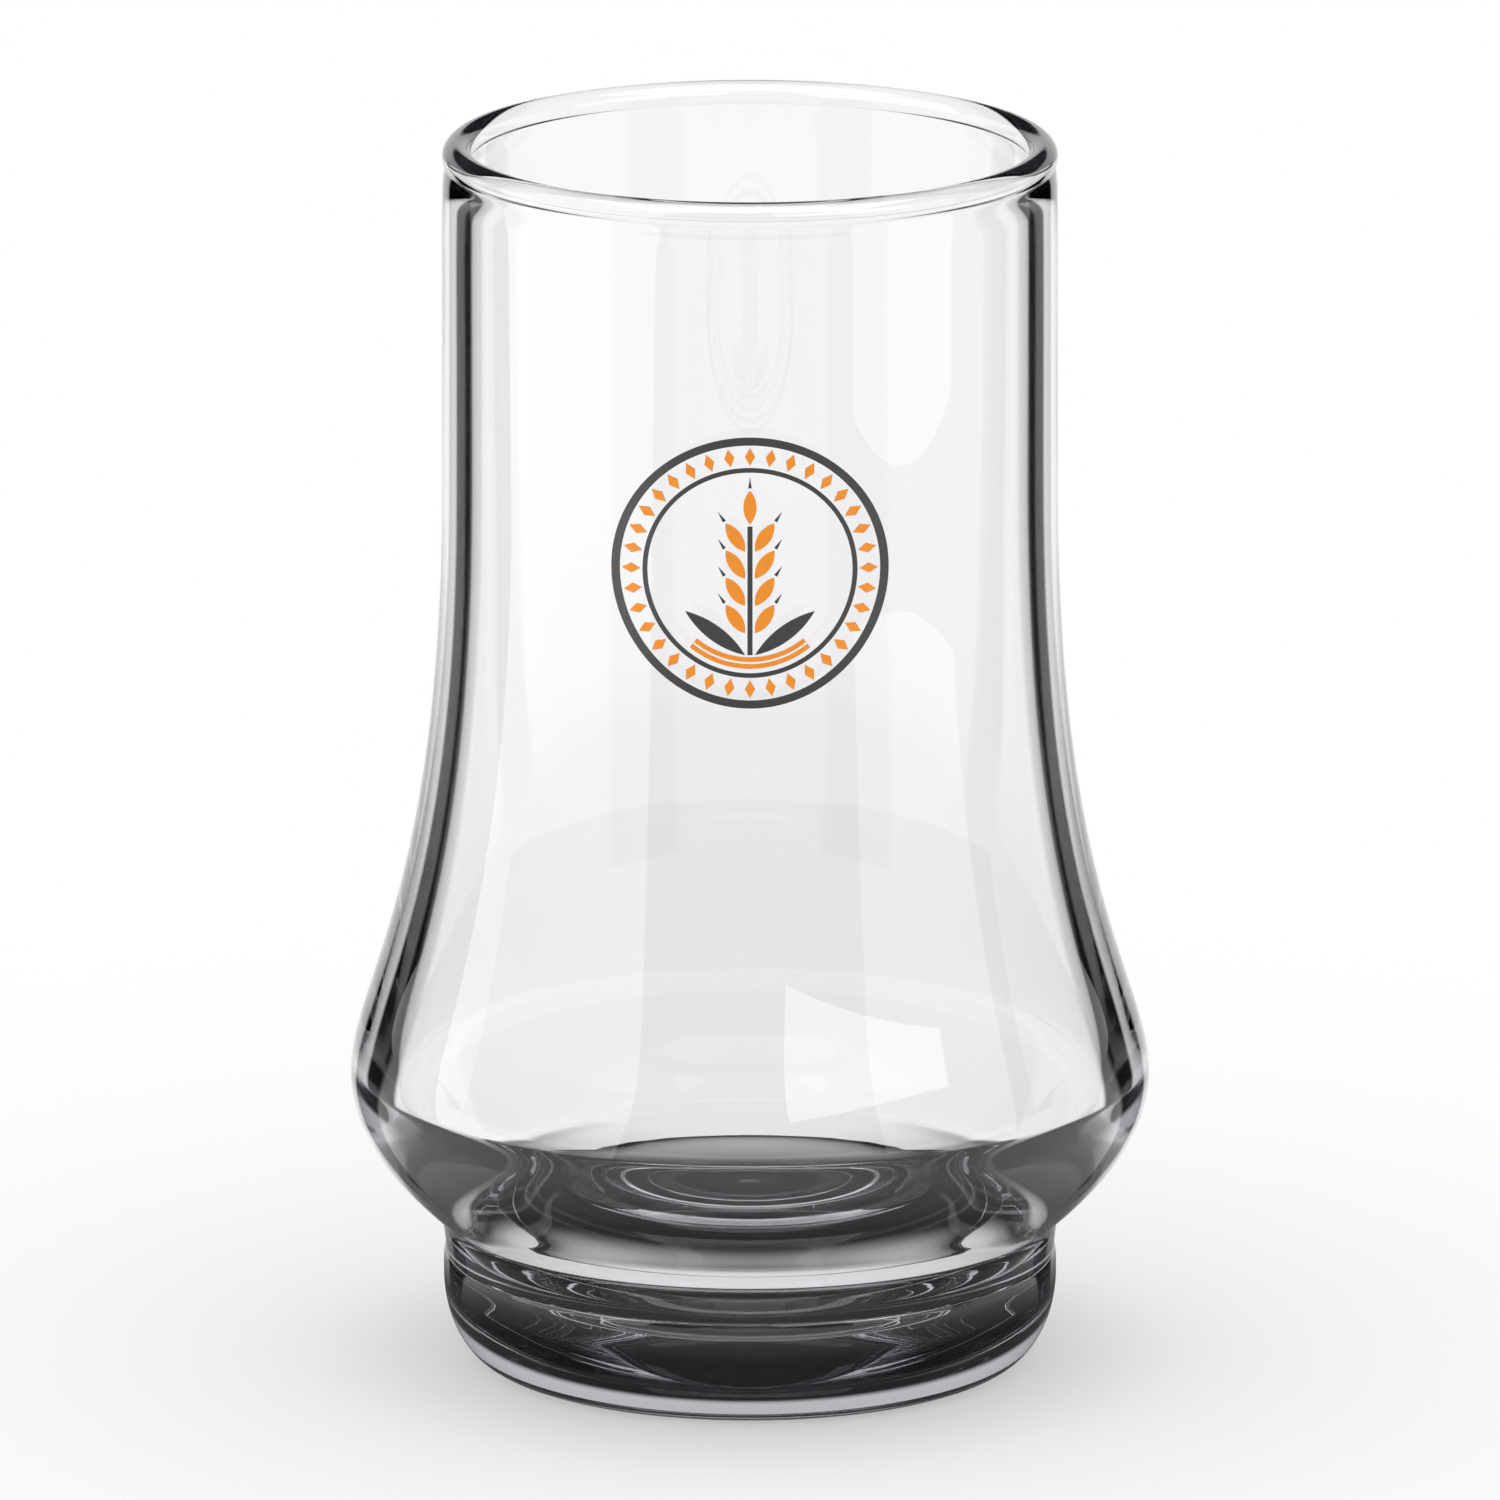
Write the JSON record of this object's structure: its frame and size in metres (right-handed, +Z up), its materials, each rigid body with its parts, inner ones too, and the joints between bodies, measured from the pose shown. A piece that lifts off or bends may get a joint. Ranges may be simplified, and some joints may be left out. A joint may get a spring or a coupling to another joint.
{
  "type": "whisky tasting glass",
  "caption": "Clear tasting glass with a straight neck, round belly and heavy rounded foot, for nosing and sipping spirits, with a two-colour fired badge on the neck.",
  "frame": {"origin": "centre of the foot's resting ring, on the surface that the glass stands on", "axes": "+Z up along the glass's axis; the printed badge faces -Y; +X is to the right when the badge is read from the front"},
  "size_m": [0.0708, 0.0708, 0.11],
  "materials": {
    "clear_glass": "fire-polished",
    "charcoal_enamel": "satin",
    "orange_enamel": "satin"
  },
  "bodies": {
    "root": {"glass_body": "clear_glass", "print_outer_ring": "charcoal_enamel", "print_lozenges": "orange_enamel", "print_inner_ring": "charcoal_enamel", "print_stalk": "charcoal_enamel", "print_grains": "orange_enamel", "print_awns": "charcoal_enamel", "print_leaves": "charcoal_enamel", "print_furrows": "orange_enamel"}
  },
  "joints": []
}
